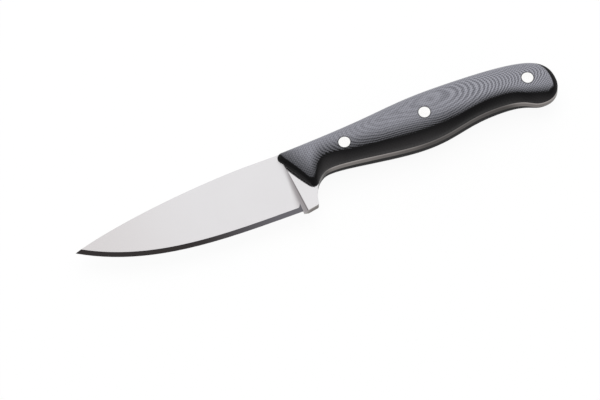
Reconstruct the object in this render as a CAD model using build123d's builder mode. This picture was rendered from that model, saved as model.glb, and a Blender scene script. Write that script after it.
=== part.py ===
from build123d import *

import os

# A full-tang paring knife, ground from one bar of steel.
# Two contoured laminate scales are glued to the tang and pinned through it.
# X runs from the point to the butt, Y from the cutting edge to the spine, Z up.
# The knife lies on its right side, and Z is zero at the lowest point of the right scale.
# Profile heights are measured from the datum line that joins the point to the butt.

# Lengths of the knife, with setbacks measured from the front of the scales at the spine
blade_length = 88.9
handle_length = 118.7
heel_setback = 2.5
plunge_setback = 5.9
groove_setback = 18.15

# Heights above and depths below the datum line
spine_height = 10.25
edge_depth = 16.3
heel_step = 1.1
swell_height = 13.8
belly_depth = 6.9

# Bar stock and grinding
tang_thickness = 3.2
finish_cut = 0.03
edge_bevel_width = 2.05
behind_edge_thickness = 0.7
plunge_radius = 4.75
guard_width = 5.8
guard_radius = 1.0

# Handle
handle_thickness = 16.4
crown_radius = 30.0
crown_height = 3.8
scale_rounding = 3.8
front_rounding = 2.0
front_slant = 10.9
scale_drop = 9.4
bond_thickness = 0.1

# Pins
pin_diameter = 4.76
pin_clearance = 0.03

# How far cutting forms run past the steel
overrun = 6.0
crown_margin = 0.8

# Where the curves of the profile meet, as shares of the length and the height that each follows
spine_top_share = 0.896
swell_share = 0.6136
hook_shares = (0.9346, 1.08)
waist_shares = (0.7702, 0.394)
palm_share = 0.5017
groove_share = 0.48

# Where the pins go, as shares of the length of the handle and of the height of its swell
front_pin_shares = (0.2367, 0.239)
middle_pin_shares = (0.5282, 0.246)
rear_pin_shares = (0.9048, 0.246)

# Directions of the profile where it isn't level or upright
point_tangent = (1.0, 0.29)
edge_tangent = (1.0, -0.65)
groove_tangent = (-1.0, -0.27)
guard_tangent = (-0.15, -1.0)

# How far each curve holds the direction of its two ends, as shares of the line between them
spine_pull_shares = (0.31, 0.21)
edge_pull_shares = (0.344, 0.349)
back_pull_shares = (0.72, 0.36)
butt_back_pull_shares = (0.62, 0.30)
butt_belly_pull_shares = (0.22, 0.545)
hook_pull_shares = (0.33, 0.76)
waist_pull_shares = (0.42, 0.43)
palm_pull_shares = (0.31, 0.165)
groove_pull_shares = (0.25, 0.44)

# Crown of the handle: a place along it, then shares of its thickness, crown radius, height and width
crown_shares = (
    (-0.08, 0.54, 1.2, 0.5, 1.0),
    (0.13, 0.785, 1.0, 0.5, 1.0),
    (0.31, 0.91, 1.0, 0.75, 1.0),
    (0.545, 1.0, 1.0, 1.0, 1.0),
    (0.80, 0.88, 0.8, 0.95, 1.0),
    (1.04, 0.64, 0.65, 0.8, 0.78),
)

# How much of the wall beside the guard the rounding of the scales may take
wall_share = 0.98

# Sizes worked out from those above
overall_length = blade_length + handle_length
ricasso_depth = edge_depth + heel_step
edge_length = blade_length + heel_setback
plunge_x = blade_length + plunge_setback
ricasso_front_x = edge_length + heel_step
half_bevel_height = behind_edge_thickness / 2
half_blade = tang_thickness / 2 - finish_cut
half_bond = tang_thickness / 2 + bond_thickness
grind_run = spine_height + edge_depth - edge_bevel_width
grind_slope = (half_blade - half_bevel_height) / grind_run
bevel_slope = half_bevel_height / edge_bevel_width

# The knife's middle plane, with its origin at the point
knife = Plane(
    origin=(-overall_length / 2, (ricasso_depth - swell_height) / 2, handle_thickness / 2)
)


def along_handle(shares, height):
    """A profile point, from its shares of the handle's length and of a height."""
    return (blade_length + shares[0] * handle_length, shares[1] * height)


def curve(start, end, start_way, end_way, pull_shares):
    """A smooth curve between two points, which leaves and arrives along the two directions."""
    start, end = Vector(start), Vector(end)
    chord = (end - start).length
    leave = start + Vector(start_way).normalized() * chord * pull_shares[0]
    arrive = end - Vector(end_way).normalized() * chord * pull_shares[1]
    return Bezier(start, leave, arrive, end)


# Outline of the whole bar before it is sharpened
with BuildSketch(knife) as blank_outline:
    with BuildLine():
        lead = (-overrun * point_tangent[0], -overrun * point_tangent[1])
        Line(lead, (0, 0))
        spine_top = (spine_top_share * blade_length, spine_height)
        curve((0, 0), spine_top, point_tangent, (1, 0), spine_pull_shares)
        swell_top = along_handle((swell_share, 1), swell_height)
        curve(spine_top, swell_top, (1, 0), (1, 0), back_pull_shares)
        butt = (overall_length, 0)
        curve(swell_top, butt, (1, 0), (0, -1), butt_back_pull_shares)
        hook = along_handle(hook_shares, -belly_depth)
        curve(butt, hook, (0, -1), (-1, 0), butt_belly_pull_shares)
        waist = along_handle(waist_shares, -belly_depth)
        curve(hook, waist, (-1, 0), (-1, 0), hook_pull_shares)
        palm = along_handle((palm_share, 1), -belly_depth)
        curve(waist, palm, (-1, 0), (-1, 0), waist_pull_shares)
        groove = (blade_length + groove_setback, -groove_share * belly_depth)
        curve(palm, groove, (-1, 0), groove_tangent, palm_pull_shares)
        guard_foot = (ricasso_front_x + guard_width, -edge_depth)
        curve(groove, guard_foot, groove_tangent, guard_tangent, groove_pull_shares)
        ricasso_front = (ricasso_front_x, -ricasso_depth)
        Line(guard_foot, ricasso_front)
        heel_foot = (edge_length, -ricasso_depth)
        Line(ricasso_front, heel_foot)
        rough_way = (-edge_tangent[0], -edge_tangent[1])
        rough_pull_shares = (edge_pull_shares[1], edge_pull_shares[0])
        curve(heel_foot, (0, -heel_step), (-1, 0), rough_way, rough_pull_shares)
        Line((0, -heel_step), lead)
    make_face()
    fillet(blank_outline.vertices().sort_by_distance(guard_foot)[0], guard_radius)

# Everything ahead of the scales: the blade, the ricasso and the foot of the guard.
# Its slanted side is the front of the scales, and its other sides clear the steel.
with BuildSketch(knife) as open_steel_outline:
    with BuildLine():
        front_low = (blade_length + front_slant, -scale_drop)
        front_rise = swell_height + overrun + scale_drop
        front_run = front_slant * front_rise / (spine_height + scale_drop)
        Polyline(
            (front_low[0] - front_run, front_low[1] + front_rise),
            front_low,
            (front_low[0] + 2 * overrun, front_low[1]),
            (front_low[0] + 2 * overrun, -ricasso_depth - overrun),
            (-2 * overrun, -ricasso_depth - overrun),
            (-2 * overrun, front_low[1] + front_rise),
            close=True,
        )
    make_face()

# Bar with a crown along and across it, the size of the handle
wall_heights = []
with BuildPart() as crown_bar:
    for along, thick, spread, tall, wide in crown_shares:
        low = -wide * scale_drop
        high = wide * (swell_height + crown_margin)
        peak = thick * handle_thickness / 2
        radius = spread * crown_radius
        crest = tall * crown_height
        low_edge = peak - radius + (radius**2 - (low - crest) ** 2) ** 0.5
        high_edge = peak - radius + (radius**2 - (high - crest) ** 2) ** 0.5
        wall_heights.append(low_edge)
        station = Plane(
            origin=knife.from_local_coords((blade_length + along * handle_length, 0, 0)),
            x_dir=(0, 1, 0),
            z_dir=(1, 0, 0),
        )
        with BuildSketch(station):
            with BuildLine():
                ThreePointArc((low, low_edge), (crest, peak), (high, high_edge))
                Line((high, high_edge), (high, -high_edge))
                ThreePointArc((high, -high_edge), (crest, -peak), (low, -low_edge))
                Line((low, -low_edge), (low, low_edge))
            make_face()
    loft()
guard_wall = wall_heights[1]

# The whole handle as one contoured body, which the tang, scales, bonds and pins are cut from
os.makedirs("parts", exist_ok=True)
with BuildPart() as handle_form:
    with BuildSketch(knife.offset(-handle_thickness)):
        add(blank_outline.sketch_local)
    extrude(amount=2 * handle_thickness)
    add(crown_bar.part, mode=Mode.INTERSECT)
    rims = handle_form.edges().filter_by(lambda e: e.length > handle_length)
    rims = rims.filter_by(lambda e: abs(e.center().Z - knife.origin.Z) > tang_thickness / 2)
    fillet(rims, min(scale_rounding, wall_share * guard_wall))
    extrude(open_steel_outline.sketch, amount=handle_thickness, both=True, mode=Mode.SUBTRACT)

# Where the three pins pass through the handle
pin_places = {
    "front_pin": along_handle(front_pin_shares, swell_height),
    "middle_pin": along_handle(middle_pin_shares, swell_height),
    "rear_pin": along_handle(rear_pin_shares, swell_height),
}
pin_holes = [knife * Location((x, y, 0)) for x, y in pin_places.values()]

# Path of the cutting edge, from ahead of the point to the end of the grind
with BuildLine() as edge_curve:
    grind_end = (plunge_x, -edge_depth)
    ahead = (-overrun * edge_tangent[0], -overrun * edge_tangent[1])
    Line(ahead, (0, 0))
    curve((0, 0), grind_end, edge_tangent, (1, 0), edge_pull_shares)
edge_path = knife.location * edge_curve.line
heading = edge_path % 0
across_path = Plane(
    origin=edge_path @ 0,
    x_dir=(-heading.Y, heading.X, 0),
    z_dir=heading,
)

# Steel taken off both sides by the flat grind, up to the rounded plunge
with BuildPart() as flat_grind:
    reach = spine_height + edge_depth + overrun
    grind_height = plunge_radius + tang_thickness
    with BuildSketch(across_path):
        with BuildLine():
            low_lift = half_bevel_height - grind_slope * (overrun + edge_bevel_width)
            high_lift = half_bevel_height + grind_slope * (reach - edge_bevel_width)
            Polyline(
                (-overrun, low_lift),
                (reach, high_lift),
                (reach, grind_height),
                (-overrun, grind_height),
                close=True,
            )
        make_face()
    sweep(path=edge_path)
    plunge_edges = flat_grind.faces().sort_by(Axis.X)[-1].edges()
    fillet(plunge_edges.sort_by(Axis.Z)[0], plunge_radius)
    mirror(about=knife)

# Steel taken off both sides to sharpen the edge, as far as the heel
with BuildPart() as edge_grind:
    with BuildSketch(across_path):
        with BuildLine():
            Polyline(
                (-overrun, -bevel_slope * overrun),
                (overrun, bevel_slope * overrun),
                (overrun, overrun),
                (-overrun, overrun),
                close=True,
            )
        make_face()
    sweep(path=edge_path)
    split(bisect_by=Plane(knife.from_local_coords((edge_length, 0, 0)), z_dir=(-1, 0, 0)), keep=Keep.TOP)
    mirror(about=knife)

# The blade, ricasso, guard and tang, all of one piece of steel
with BuildPart() as blade:
    add(handle_form.part)
    split(bisect_by=knife.offset(tang_thickness / 2), keep=Keep.BOTTOM)
    split(bisect_by=knife.offset(-tang_thickness / 2), keep=Keep.TOP)
    with BuildSketch(knife.offset(-half_blade)):
        add(blank_outline.sketch_local)
        add(open_steel_outline.sketch_local, mode=Mode.INTERSECT)
    extrude(amount=2 * half_blade)
    add(flat_grind.part, mode=Mode.SUBTRACT)
    add(edge_grind.part, mode=Mode.SUBTRACT)
    with Locations(pin_holes):
        Hole(pin_diameter / 2 + pin_clearance)
blade.part.label = "blade"
export_step(blade.part, "parts/blade.step")

# Left scale, contoured with the handle and rounded over at its front
with BuildPart() as left_scale:
    add(handle_form.part)
    split(bisect_by=knife.offset(half_bond), keep=Keep.TOP)
    with Locations(pin_holes):
        Hole(pin_diameter / 2 + pin_clearance)
    front_face = left_scale.faces().filter_by(GeomType.PLANE).sort_by(Axis.X)[0]
    fillet(front_face.edges().sort_by(Axis.Z)[-1], front_rounding)
left_scale.part.label = "left_scale"
export_step(left_scale.part, "parts/left_scale.step")

# Film of adhesive under the left scale
with BuildPart() as left_bond:
    extrude(left_scale.faces().sort_by(Axis.Z)[0], amount=bond_thickness)
left_bond.part.label = "left_bond"
export_step(left_bond.part, "parts/left_bond.step")

# The right side mirrors the left
with BuildPart() as right_scale:
    mirror(left_scale.part, about=knife)
right_scale.part.label = "right_scale"
export_step(right_scale.part, "parts/right_scale.step")

with BuildPart() as right_bond:
    mirror(left_bond.part, about=knife)
right_bond.part.label = "right_bond"
export_step(right_bond.part, "parts/right_bond.step")

# Pins, driven through scales and tang and ground flush with the handle on both sides
for pin_name, pin_hole in zip(pin_places, pin_holes):
    with BuildPart() as pin:
        with Locations(pin_hole):
            Cylinder(pin_diameter / 2, 2 * handle_thickness)
        add(handle_form.part, mode=Mode.INTERSECT)
    pin.part.label = pin_name
    export_step(pin.part, f"parts/{pin_name}.step")
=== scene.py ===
import math

import bpy
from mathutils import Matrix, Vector


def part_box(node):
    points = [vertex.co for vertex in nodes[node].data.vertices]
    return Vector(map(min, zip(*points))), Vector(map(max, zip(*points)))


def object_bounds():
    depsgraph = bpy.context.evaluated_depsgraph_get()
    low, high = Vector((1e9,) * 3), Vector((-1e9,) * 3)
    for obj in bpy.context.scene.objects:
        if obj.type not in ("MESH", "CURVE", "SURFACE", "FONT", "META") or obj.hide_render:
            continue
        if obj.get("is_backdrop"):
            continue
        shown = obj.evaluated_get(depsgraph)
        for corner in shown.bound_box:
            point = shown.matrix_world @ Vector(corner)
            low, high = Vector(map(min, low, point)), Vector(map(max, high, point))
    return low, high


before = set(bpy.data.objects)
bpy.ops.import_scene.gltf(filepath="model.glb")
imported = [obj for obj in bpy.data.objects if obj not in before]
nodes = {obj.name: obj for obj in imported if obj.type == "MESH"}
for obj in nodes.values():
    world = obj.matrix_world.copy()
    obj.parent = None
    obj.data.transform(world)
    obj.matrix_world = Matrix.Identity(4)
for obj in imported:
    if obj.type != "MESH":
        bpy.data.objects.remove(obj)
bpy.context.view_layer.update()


# Blade
# One bar of stainless steel: the blade, its ricasso and guard, and the tang that runs the whole handle.
# The faces are flat ground on a belt from spine to edge and left satin. The edge is honed; its near-black
# colour, darkest at the point, is painted dark reflection.
# The rim of the tang is belted lengthwise and flush with the scales. Its darkness is painted shade with
# random tarnish, and its upper edge has a painted highlight.

MM = 0.001

# Places on the knife, in mm: X along it towards the butt, Y up to the spine, Z from its middle plane.
# A pair is where something starts to show and where it is there in full.
middle_plane = 8.2  # how far it lies over the floor
handle_start = -14.9  # where the scales begin at the spine
handle_blend = (handle_start, handle_start + 6)
plunge_start = -11.4  # where the grind runs out, halfway up
plunge_lean = -0.0585  # how far that place moves along the knife with each mm up
# Where the faces fade into a painted dimmer reflection towards the point
tip_stretch = (-100, -45)
# Where the bevel's painted dark reflection deepens towards the point
bevel_dark_stretch = (-60, -12)
palm_start = (15, 55)
palm_end = (90, 78)
groove_end = (7, 1)
groove_foot = (-9, -6)
groove_top = (4, 0)
# Band on the tang's upper edge that gets a painted highlight, in mm from the middle plane
tang_highlight_band = (0.2, 1.5)

# Painted shade in front of the plunge, and the painted dark line that ends it, both deeper towards the foot
plunge_width = (-0.267, 2.0)  # mm that it gains with each mm up, and mm halfway up
plunge_least_width = 0.6
plunge_shade = (-1.0, -0.05)  # shares of that width
plunge_line = (-0.55, -0.10)
plunge_deepens = (10, -10)
plunge_depth = (0.5, 0.5)  # what the shade gains down to the foot, and what it has at the top

# Tilts at which a surface counts as rim or bevel, as parts of the way that it faces
rim_tilt = (0.72, 0.60)
bevel_tilt = (0.9935, 0.9900)
bevel_turn = (-0.09, -0.12)

# Distance in mm between scratches along, up and through the knife
across_spacing = (0.10, 9.0, 0.6)
along_spacing = (14.0, 6.0, 0.07)
honed_spacing = (0.07, 3.0, 0.6)

# How many times the tone changes in a mm
face_tone_scale = 0.035
rim_tone_scale = 0.06

# Roughness: what the scratches add to it, and the least
ground_roughness = (0.10, 0.19)
ricasso_roughness = (0.06, 0.08)
honed_roughness = (0.08, 0.07)
rim_roughness = (0.20, 0.28)
steel_bump = (0.05, 0.02)  # strength, and depth in mm

# Tones of the grinding and of the tang's tarnish with painted shade, and shares of random age, of painted
# shade where the palm lies and of the painted highlight there
face_tones = (0.30, 0.70)
scratch_tones = (0.35, 0.65)
tarnish_and_shade_tones = (0.0, 0.7)
age_share = 0.5
palm_shade_share = (0.7, -0.25)
palm_highlight_share = (-0.75, 1.0)

steel_face = (0.786, 0.773, 0.786, 1)
steel_shade = (0.756, 0.741, 0.753, 1)
# Painted dimmer reflection towards the point
steel_tip_painted_dim = (0.712, 0.686, 0.690, 1)
# Painted shade at the plunge and its fine dark line
plunge_shade_color = (0.57, 0.54, 0.55, 1)
plunge_line_color = (0.30, 0.28, 0.28, 1)
# Painted dark reflection on the bevel, at the heel and at the point
bevel_heel_painted_dark = (0.152, 0.147, 0.163, 1)
bevel_tip_painted_dark = (0.039, 0.034, 0.034, 1)
steel_spine = (0.62, 0.61, 0.605, 1)
# Painted shade on the tang's rim, from light to dark with its random tarnish
tang_shade_light = (0.165, 0.148, 0.140, 1)
tang_shade_dark = (0.038, 0.031, 0.028, 1)
# Painted highlight on the tang's upper edge
tang_highlight_color = (0.36, 0.330, 0.318, 1)


def add_node(tree, kind, inputs=None, **settings):
    """A node with its settings and inputs given, each input a value or the output that feeds it."""
    node = tree.nodes.new(kind)
    for name, value in settings.items():
        setattr(node, name, value)
    for name, value in (inputs or {}).items():
        if isinstance(value, bpy.types.NodeSocket):
            tree.links.new(value, node.inputs[name])
        else:
            node.inputs[name].default_value = value
    return node


def calc(tree, operation, *values):
    """The result of a Math node."""
    return add_node(tree, "ShaderNodeMath", dict(enumerate(values)), operation=operation).outputs[0]


def product(tree, first, *others):
    """All the values multiplied. For masks, it is where they overlap."""
    result = first
    for value in others:
        result = calc(tree, "MULTIPLY", result, value)
    return result


def line(tree, value, gain, base):
    """The value times the gain, plus the base."""
    return calc(tree, "MULTIPLY_ADD", value, gain, base)


def fade(tree, value, start, end):
    """0 up to the start, 1 from the end on, and a smooth step between. The end may be the lower one."""
    inputs = {"Value": value, "From Min": start, "From Max": end}
    return add_node(tree, "ShaderNodeMapRange", inputs, interpolation_type="SMOOTHSTEP").outputs[0]


def blend_colors(tree, share, first, second):
    """The first colour where share is 0, the second where it is 1."""
    mix = add_node(tree, "ShaderNodeMix", {0: share, 6: first, 7: second}, data_type="RGBA")
    return mix.outputs[2]


def blend_values(tree, share, first, second):
    """The first value where share is 0, the second where it is 1."""
    mix = add_node(tree, "ShaderNodeMix", {0: share, 2: first, 3: second}, data_type="FLOAT")
    return mix.outputs[0]


def split(tree, vector):
    """The X, Y and Z of a vector."""
    outputs = add_node(tree, "ShaderNodeSeparateXYZ", {0: vector}).outputs
    return outputs["X"], outputs["Y"], outputs["Z"]


def surface_way(tree):
    """The X, Y and Z of the way that the surface faces."""
    return split(tree, add_node(tree, "ShaderNodeNewGeometry").outputs["Normal"])


def start_material(name):
    """A material with a Principled shader, its tree, and the place on the piece in millimetres."""
    material = bpy.data.materials.new(name)
    material.use_nodes = True
    tree = material.node_tree
    shader = tree.nodes["Principled BSDF"]
    place = add_node(tree, "ShaderNodeTexCoord").outputs["Object"]
    mapping = add_node(tree, "ShaderNodeMapping", {"Vector": place, "Scale": (1 / MM, 1 / MM, 1 / MM)})
    mapping.inputs["Location"].default_value = (0, 0, -middle_plane)
    return material, tree, shader, mapping.outputs[0]


def finish_material(tree, shader, color, roughness, height, bump):
    """Links the colour, the roughness and a bump to the shader. A bump is a strength and a depth in mm."""
    strength, depth = bump
    inputs = {"Height": height, "Strength": strength, "Distance": depth * MM}
    tree.links.new(color, shader.inputs["Base Color"])
    tree.links.new(roughness, shader.inputs["Roughness"])
    tree.links.new(add_node(tree, "ShaderNodeBump", inputs).outputs[0], shader.inputs["Normal"])


def put_on(material, *names):
    """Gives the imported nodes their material."""
    for name in names:
        nodes[name].data.materials.clear()
        nodes[name].data.materials.append(material)


def start_group(name, inputs, outputs):
    """An empty shader node group with named sockets, its inputs and its end."""
    group = bpy.data.node_groups.new(name, "ShaderNodeTree")
    for socket, kind in inputs.items():
        group.interface.new_socket(socket, in_out="INPUT", socket_type=kind)
    for socket, kind in outputs.items():
        group.interface.new_socket(socket, in_out="OUTPUT", socket_type=kind)
    return group, add_node(group, "NodeGroupInput").outputs, add_node(group, "NodeGroupOutput").inputs


# Grinding lines: scratches much longer than they are apart, with a slower change of tone over them
grind_group, given, result = start_group(
    "grinding lines",
    {"Place": "NodeSocketVector", "Spacing": "NodeSocketVector", "Tone Scale": "NodeSocketFloat"},
    {"Scratches": "NodeSocketFloat", "Tone": "NodeSocketFloat"},
)
shrink = {0: given["Place"], 1: given["Spacing"]}
stretched = add_node(grind_group, "ShaderNodeVectorMath", shrink, operation="DIVIDE").outputs[0]
fine = {"Vector": stretched, "Scale": 1, "Detail": 3, "Roughness": 0.65}
slow = {"Vector": given["Place"], "Scale": given["Tone Scale"], "Detail": 2}
grind_group.links.new(add_node(grind_group, "ShaderNodeTexNoise", fine).outputs[0], result["Scratches"])
grind_group.links.new(add_node(grind_group, "ShaderNodeTexNoise", slow).outputs[0], result["Tone"])


def grinding(tree, place, spacing, tone_scale=0.0):
    """The scratches and the tone of one direction of grinding. The tone may be left unused."""
    node = add_node(tree, "ShaderNodeGroup", node_tree=grind_group)
    tree.links.new(place, node.inputs["Place"])
    node.inputs["Spacing"].default_value = spacing
    node.inputs["Tone Scale"].default_value = tone_scale
    return node.outputs["Scratches"], node.outputs["Tone"]


satin_steel, tree, shader, place = start_material("satin_steel")
x, y, z = split(tree, place)
across, face_tone = grinding(tree, place, across_spacing, face_tone_scale)
along, rim_tone = grinding(tree, place, along_spacing, rim_tone_scale)
honed = grinding(tree, place, honed_spacing)[0]

way_y, way_z = surface_way(tree)[1:]
upward = calc(tree, "ABSOLUTE", way_z)
is_rim = fade(tree, upward, *rim_tilt)
is_bevel = product(tree, fade(tree, upward, *bevel_tilt), fade(tree, way_y, *bevel_turn))
scratches = blend_values(tree, is_rim, blend_values(tree, is_bevel, across, honed), along)

# Ground faces, greyer towards the point as a painted dimming of their reflection, and the honed bevel with
# its painted dark reflection
face_color = blend_colors(tree, fade(tree, face_tone, *face_tones), steel_shade, steel_face)
lined_color = blend_colors(tree, fade(tree, across, *scratch_tones), face_color, steel_face)
tip_dimmed_color = blend_colors(tree, fade(tree, x, *tip_stretch), steel_tip_painted_dim, lined_color)
bevel_painted_dark_color = blend_colors(tree, fade(tree, x, *bevel_dark_stretch), bevel_tip_painted_dark, bevel_heel_painted_dark)

# Plunge, where the grind curves up into the ricasso: a soft painted shade that ends in a fine painted dark
# line
from_plunge = calc(tree, "SUBTRACT", x, line(tree, y, plunge_lean, plunge_start))
on_blade = calc(tree, "LESS_THAN", from_plunge, 0.0)
low_down = fade(tree, y, *plunge_deepens)
reach = calc(tree, "MAXIMUM", line(tree, y, *plunge_width), plunge_least_width)
plunge_painted_shade = fade(tree, calc(tree, "DIVIDE", from_plunge, reach), *plunge_shade)
plunge_painted_shade = product(tree, plunge_painted_shade, line(tree, low_down, *plunge_depth), on_blade)
plunge_painted_line = product(tree, fade(tree, from_plunge, *plunge_line), low_down, on_blade)
ground_color = blend_colors(tree, plunge_painted_shade, tip_dimmed_color, plunge_shade_color)
ground_color = blend_colors(tree, plunge_painted_line, ground_color, plunge_line_color)
body_color = blend_colors(tree, is_bevel, ground_color, bevel_painted_dark_color)

# Rim: bright along the spine of the blade. In the handle it has painted shade with random tarnish, deepest
# where the palm and a finger lie, and a painted highlight on its upper edge
in_palm = product(tree, fade(tree, x, *palm_start), fade(tree, x, *palm_end))
groove_rim = product(tree, fade(tree, y, *groove_foot), fade(tree, y, *groove_top))
in_groove = product(tree, groove_rim, fade(tree, x, *groove_end))
palm_and_groove = calc(tree, "MAXIMUM", in_palm, in_groove)
tarnish_and_painted_shade = line(tree, rim_tone, age_share, line(tree, palm_and_groove, *palm_shade_share))
tang_shade_color = blend_colors(tree, fade(tree, tarnish_and_painted_shade, *tarnish_and_shade_tones), tang_shade_light, tang_shade_dark)
# Painted highlight along the tang's upper edge, weaker where the palm and a finger lie
tang_painted_highlight = product(tree, fade(tree, z, *tang_highlight_band), line(tree, palm_and_groove, *palm_highlight_share))
highlighted_tang_color = blend_colors(tree, tang_painted_highlight, tang_shade_color, tang_highlight_color)
rim_color = blend_colors(tree, fade(tree, x, *handle_blend), steel_spine, highlighted_tang_color)

ricasso_rough = line(tree, across, *ricasso_roughness)
face_rough = blend_values(tree, on_blade, ricasso_rough, line(tree, across, *ground_roughness))
body_rough = blend_values(tree, is_bevel, face_rough, line(tree, honed, *honed_roughness))
steel_rough = blend_values(tree, is_rim, body_rough, line(tree, along, *rim_roughness))
steel_color = blend_colors(tree, is_rim, body_color, rim_color)
finish_material(tree, shader, steel_color, steel_rough, scratches, steel_bump)
shader.inputs["Metallic"].default_value = 1
put_on(satin_steel, "blade")


# Scales
# Two slabs of dark linen laminate, pressed in layers that lie nearly parallel to the tang.
# Contouring cuts through the layers, so that each shows as a contour line with its weave along it.
# They are glued and pinned to the tang, sanded to shape with it and buffed.

pin_names = ("front_pin", "middle_pin", "rear_pin")

# How the layers lie, in mm: they bow and tilt across the handle, swell at its front and fold at the spine
layer_thickness = 0.105
layer_bow = 0.0115
layer_tilt = 0.022
layer_swell = 0.42
layer_fold = 0.034
layer_sag = 0.13
crown_middle = 4.4
fold_height = 9.6
swell_front = (-12, 14)
swell_back = (46, 17)
fold_stretch = (58, 34)
thread_along = 1.30
thread_across = 1.12
sag_noise = {"Scale": 0.12, "Detail": 2}
fibre_noise = {"Scale": 1.6, "Detail": 3, "Roughness": 0.7}

# Where the layers and the threads stand out most, and by how much
rear_stretch = (50, 76)
crease_stretch = (5.0, 1.0)
ring_contrast = (0.70, 0.25)
weave_contrast = (0.35, 0.65)
fibre_contrast = 1.6
thread_tones = (-1.5, 1.5)

# The slanted front of the scales, from its lower end to its upper one
front_low = (-4.0, -7.6)
front_high = (handle_start, 12.05)

# Where the flat of the contour turns down towards the belly, from the front to the butt
crease = (
    (-16, -8.0), (-4.9, -6.1), (-1.8, -1.5), (1.1, 1.9), (4.2, 3.4), (7, 3.3), (12.2, 2.3),
    (27, 0.3), (46, -1.15), (61, -0.3), (79, 1.8), (91.2, -0.8), (97.2, -2.2), (104, -3.2),
)
crease_lowest, crease_highest = -10, 10

# Flat of the contour: how ragged its edge is at the crease, and how level it has to be. What is not level
# takes the near-black end-grain colour, which is partly painted shade
ragged_edge = (-0.5, 0.5)
raggedness = 0.30
end_and_shade_tilt = (0.46, 0.34)
flat_tilt = (0.15, 0.60)

# Painted shade beside its edges, in mm over the crease and behind the front, narrower towards the butt
shade_start = -0.8
shade_height = (-3.5, 7.0)
shade_shrinks = (40, 80)
front_shade = (-1.0, 12.0)

# Painted sheen on the belly, in mm under the crease, and the dark ring round a pin, in mm from its middle
belly_stretch = (-0.5, -5.5)
belly_front = (1.0, 3.5)
waist_start = (45, 60)
waist_end = (85, 72)
waist_sheen = (-0.5, 1.0)
lower_side = (-1.7, 1.7)
lower_side_sheen = (0.65, 0.35)
soaked_ring = (2.95, 2.60)
soaked_share = 0.75

flat_roughness = (0.10, 0.38)
cut_roughness = 0.55
linen_bump = (0.10, 0.02)
linen_specular = 0.10

linen_light = (0.328, 0.330, 0.368, 1)
linen_dark = (0.104, 0.105, 0.121, 1)
# Painted shade by the crease and behind the front
linen_shade = (0.085, 0.086, 0.095, 1)
# End grain, near black partly as painted shade where the scales face down
end_grain_and_shade_light = (0.0065, 0.0062, 0.0068, 1)
end_grain_and_shade_dark = (0.0020, 0.0019, 0.0021, 1)
# Painted sheen on the belly
belly_sheen_light = (0.046, 0.044, 0.045, 1)
belly_sheen_dark = (0.034, 0.032, 0.033, 1)
soaked_color = (0.03, 0.03, 0.03, 1)

laminate, tree, shader, place = start_material("linen_laminate")
x, y, z = split(tree, place)

# Depth in the stack of layers, and the tone of the layer that is cut there
up = calc(tree, "SUBTRACT", y, crown_middle)
bow = product(tree, up, line(tree, up, layer_bow, layer_tilt))
hump = product(tree, fade(tree, x, *swell_back), fade(tree, x, *swell_front))
swell = line(tree, hump, layer_swell, bow)
from_fold = calc(tree, "ABSOLUTE", calc(tree, "SUBTRACT", y, fold_height))
folded = product(tree, from_fold, product(tree, fade(tree, x, *fold_stretch), -layer_fold))
sag = add_node(tree, "ShaderNodeTexNoise", {"Vector": place, **sag_noise}).outputs[0]
pressed = line(tree, sag, layer_sag, calc(tree, "ABSOLUTE", z))
depth = calc(tree, "ADD", pressed, calc(tree, "ADD", swell, folded))
layer = calc(tree, "COSINE", product(tree, depth, 2 * math.pi / layer_thickness))

# Weave of each layer, warp along the handle and weft across it
warp = calc(tree, "SINE", product(tree, x, 2 * math.pi / thread_along))
weft = calc(tree, "SINE", product(tree, y, 2 * math.pi / thread_across))
weave = product(tree, warp, weft)

# Height over the crease, which a curve gives along the knife
crease_start, crease_end = crease[0][0], crease[-1][0]
crease_length = crease_end - crease_start
crease_range = crease_highest - crease_lowest
along_crease = calc(tree, "DIVIDE", calc(tree, "SUBTRACT", x, crease_start), crease_length)
crease_line = add_node(tree, "ShaderNodeFloatCurve", {"Value": along_crease})
points = crease_line.mapping.curves[0].points
while len(points) < len(crease):
    points.new(0.5, 0.5)
for point, (point_x, point_y) in zip(points, crease):
    point.location = ((point_x - crease_start) / crease_length, (point_y - crease_lowest) / crease_range)
crease_line.mapping.update()
crease_height = line(tree, crease_line.outputs[0], crease_range, crease_lowest)
over_crease = calc(tree, "SUBTRACT", y, crease_height)

# Distance behind the front of the scales
front_run = (front_high[0] - front_low[0]) / (front_high[1] - front_low[1])
front_line = line(tree, y, front_run, front_low[0] - front_low[1] * front_run)
from_front = calc(tree, "SUBTRACT", x, front_line)

# Threads: the layers as rings, the weave along them, and loose fibres
fibre = add_node(tree, "ShaderNodeTexNoise", {"Vector": place, **fibre_noise}).outputs[0]
rearward = fade(tree, x, *rear_stretch)
shown = calc(tree, "MAXIMUM", rearward, fade(tree, over_crease, *crease_stretch))
rings = product(tree, layer, line(tree, shown, *ring_contrast))
woven = calc(tree, "ADD", product(tree, weave, line(tree, rearward, *weave_contrast)), rings)
threads = line(tree, calc(tree, "SUBTRACT", fibre, 0.5), fibre_contrast, woven)
is_thread = fade(tree, threads, *thread_tones)

# Flat of the contour, where the layers are cut nearly level, with a ragged edge at the crease. Surfaces
# facing down or to the ends take the end-grain colour, partly painted shade on the belly side
way_x, way_y, way_z = surface_way(tree)
tipped = calc(tree, "MAXIMUM", calc(tree, "ABSOLUTE", way_x), product(tree, way_y, -1.0))
level = product(tree, fade(tree, tipped, *end_and_shade_tilt), fade(tree, calc(tree, "ABSOLUTE", way_z), *flat_tilt))
ragged = line(tree, threads, raggedness, over_crease)
flat_cut_and_lit = product(tree, fade(tree, ragged, *ragged_edge), level)
# Painted shade over the crease and behind the front
shade_end = line(tree, fade(tree, x, *shade_shrinks), *shade_height)
lit = product(tree, fade(tree, over_crease, shade_start, shade_end), fade(tree, from_front, *front_shade))

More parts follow.
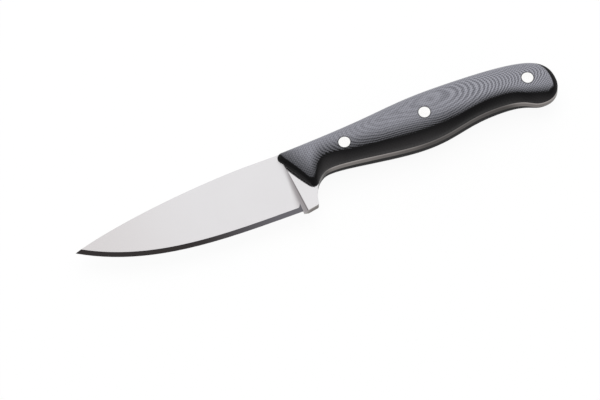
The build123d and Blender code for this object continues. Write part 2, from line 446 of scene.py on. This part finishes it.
# Dark ring round each pin, where the glue has soaked in
spot = add_node(tree, "ShaderNodeCombineXYZ", {0: x, 1: y}).outputs[0]
from_pin = 100.0  # further off than the nearest pin ever is
for name in pin_names:
    low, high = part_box(name)
    center = ((low.x + high.x) / 2 / MM, (low.y + high.y) / 2 / MM, 0)
    distance = add_node(tree, "ShaderNodeVectorMath", {0: spot, 1: center}, operation="DISTANCE")
    from_pin = calc(tree, "MINIMUM", from_pin, distance.outputs["Value"])
soaked = product(tree, fade(tree, from_pin, *soaked_ring), soaked_share)

# Belly, cut across the layers, with a painted sheen that makes it grey, weaker at the waist, and painted
# shade on the side that lies down
waist = product(tree, fade(tree, x, *waist_start), fade(tree, x, *waist_end))
belly_painted_sheen = product(
    tree,
    fade(tree, over_crease, *belly_stretch),
    fade(tree, from_front, *belly_front),
    line(tree, waist, *waist_sheen),
    line(tree, fade(tree, z, *lower_side), *lower_side_sheen),
)

flat_color = blend_colors(tree, is_thread, linen_dark, linen_light)
shade_color = blend_colors(tree, is_thread, end_grain_and_shade_light, linen_shade)
shaded_color = blend_colors(tree, lit, shade_color, flat_color)
ringed_color = blend_colors(tree, soaked, shaded_color, soaked_color)
# Painted sheen on the belly
belly_sheen_color = blend_colors(tree, is_thread, belly_sheen_dark, belly_sheen_light)
# End grain with painted shade
end_grain_and_shade_color = blend_colors(tree, is_thread, end_grain_and_shade_dark, end_grain_and_shade_light)
cut_shade_and_sheen_color = blend_colors(tree, belly_painted_sheen, end_grain_and_shade_color, belly_sheen_color)
linen_color = blend_colors(tree, flat_cut_and_lit, cut_shade_and_sheen_color, ringed_color)
linen_rough = blend_values(tree, flat_cut_and_lit, cut_roughness, line(tree, is_thread, *flat_roughness))
finish_material(tree, shader, linen_color, linen_rough, is_thread, linen_bump)
shader.inputs["Specular IOR Level"].default_value = linen_specular
put_on(laminate, "left_scale", "right_scale")


# Adhesive
# Two films of black epoxy between the tang and the scales, squeezed to a tenth of a millimetre.
# They show only as a dark line along the seam.

glue_color = (0.005, 0.005, 0.005, 1)
glue_dust = (0.012, 0.012, 0.012, 1)
dust_tones = (0.45, 0.75)
glue_roughness = (0.25, 0.3)
glue_bump = (0.1, 0.02)
grain_noise = {"Scale": 2.5, "Detail": 3}

epoxy, tree, shader, place = start_material("epoxy")
grain = add_node(tree, "ShaderNodeTexNoise", {"Vector": place, **grain_noise}).outputs[0]
glue_tone = blend_colors(tree, fade(tree, grain, *dust_tones), glue_color, glue_dust)
finish_material(tree, shader, glue_tone, line(tree, grain, *glue_roughness), grain, glue_bump)
put_on(epoxy, "left_bond", "right_bond")


# Pins
# Three rods of 3/16 in stainless steel, driven through scales and tang.
# Both ends are sanded flush with the contoured scales and buffed bright.

pin_bright = (0.99, 0.985, 0.98, 1)
pin_worn = (0.965, 0.96, 0.95, 1)
pin_spacing = (3.5, 0.05, 1.5)
pin_tone_scale = 0.25
pin_tones = (0.3, 0.7)
pin_roughness = (0.12, 0.10)
pin_bump = (0.05, 0.01)

buffed_steel, tree, shader, place = start_material("buffed_steel")
sanded, tone = grinding(tree, place, pin_spacing, pin_tone_scale)
pin_color = blend_colors(tree, fade(tree, tone, *pin_tones), pin_bright, pin_worn)
finish_material(tree, shader, pin_color, line(tree, sanded, *pin_roughness), sanded, pin_bump)
shader.inputs["Metallic"].default_value = 1
put_on(buffed_steel, *pin_names)


# Floor
# A white sheet of card under the knife, which keeps a soft shadow.
# To the camera and in the steel it looks lit from within, as the card of a light box is.

floor_reach = 4  # metres to each side
card_white = (0.92, 0.92, 0.92, 1)
card_fleck = (0.90, 0.90, 0.90, 1)
card_glow = 0.93  # share of plain white that the camera and the steel see
card_roughness = 0.9
card_specular = 0.1
fleck_noise = {"Scale": 0.02}

card, tree, shader, place = start_material("white_card")
fleck = add_node(tree, "ShaderNodeTexNoise", {"Vector": place, **fleck_noise}).outputs[0]
tree.links.new(blend_colors(tree, fleck, card_fleck, card_white), shader.inputs["Base Color"])
shader.inputs["Roughness"].default_value = card_roughness
shader.inputs["Specular IOR Level"].default_value = card_specular
ray = add_node(tree, "ShaderNodeLightPath").outputs
mirrored = calc(tree, "MAXIMUM", ray["Is Glossy Ray"], ray["Is Transmission Ray"])
share = product(tree, calc(tree, "MAXIMUM", ray["Is Camera Ray"], mirrored), card_glow)
white = add_node(tree, "ShaderNodeEmission", {"Color": (1, 1, 1, 1), "Strength": 1.0}).outputs[0]
mixed = add_node(tree, "ShaderNodeMixShader", {0: share, 1: shader.outputs[0], 2: white}).outputs[0]
tree.links.new(mixed, tree.nodes["Material Output"].inputs["Surface"])

near, far = -floor_reach, floor_reach
floor_mesh = bpy.data.meshes.new("floor")
corners = [(near, near, 0), (far, near, 0), (far, far, 0), (near, far, 0)]
floor_mesh.from_pydata(corners, [], [(0, 1, 2, 3)])
floor_mesh.materials.append(card)
floor = bpy.data.objects.new("floor", floor_mesh)
bpy.context.scene.collection.objects.link(floor)
floor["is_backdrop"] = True


# Studio
# A wide softbox overhead and behind, which the steel mirrors, feathered away to the left and the front.
# White walls stand low round the floor.
# A broad lamp lights the scales from behind, and the steel doesn't show it.

softbox_light = (1.0, 1.0, 1.0, 1)
left_wall = (0.56, 0.55, 0.555, 1)
front_wall = (0.50, 0.50, 0.505, 1)
low_wall = (0.85, 0.85, 0.85, 1)

# Where the softbox ends, as metres to the side or to the back for each metre up
softbox_left = (-0.62, 0.16)
softbox_front = (-1.0, 0.10)

# Where the low walls begin, as the sine of the angle above the floor
wall_top = (0.34, 0.16)
least_rise = 0.05

lamp_size = 1.6  # metres
lamp_place = (0.15, 0.65, 1.65)  # metres
lamp_power = 17  # watts

world = bpy.data.worlds.new("studio")
bpy.context.scene.world = world
world.use_nodes = True
tree = world.node_tree
look_x, look_y, look_z = split(tree, add_node(tree, "ShaderNodeTexCoord").outputs["Generated"])
rise = calc(tree, "MAXIMUM", look_z, least_rise)
aside = calc(tree, "DIVIDE", look_x, rise)
behind = calc(tree, "DIVIDE", look_y, rise)
box_color = blend_colors(tree, fade(tree, aside, *softbox_left), left_wall, softbox_light)
above = blend_colors(tree, fade(tree, behind, *softbox_front), front_wall, box_color)
room = blend_colors(tree, fade(tree, look_z, *wall_top), above, low_wall)
tree.links.new(room, tree.nodes["Background"].inputs["Color"])

lamp = bpy.data.lights.new("fill", "AREA")
lamp.shape = "RECTANGLE"
lamp.size = lamp_size
lamp.size_y = lamp_size
lamp.energy = lamp_power
fill = bpy.data.objects.new("fill", lamp)
fill.location = lamp_place
fill.rotation_euler = (-Vector(lamp_place)).to_track_quat("-Z", "Y").to_euler()
fill.visible_camera = False
fill.visible_glossy = False
bpy.context.scene.collection.objects.link(fill)


# Camera
# A long lens from the point's side, steeply above the knife.
# It stands as far off as shows the knife at the photograph's scale.

view_azimuth = math.radians(-21.87)
view_elevation = math.radians(62.5)
image_width = 600
pixels_per_metre = 2500
aim = Vector((-0.01168, -0.00923, 0.0082))  # metres

camera_data = bpy.data.cameras.new("camera")
camera_data.lens = 800
camera_data.sensor_width = 36
camera_data.clip_end = 100
distance = image_width / pixels_per_metre * camera_data.lens / camera_data.sensor_width
level_run = math.cos(view_elevation)
back = Vector((
    math.sin(view_azimuth) * level_run,
    -math.cos(view_azimuth) * level_run,
    math.sin(view_elevation),
))
camera = bpy.data.objects.new("camera", camera_data)
camera.location = aim + back * distance
camera.rotation_euler = (-back).to_track_quat("-Z", "Y").to_euler()
bpy.context.scene.collection.objects.link(camera)
bpy.context.scene.camera = camera
bpy.context.scene.view_settings.view_transform = "Standard"

low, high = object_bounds()
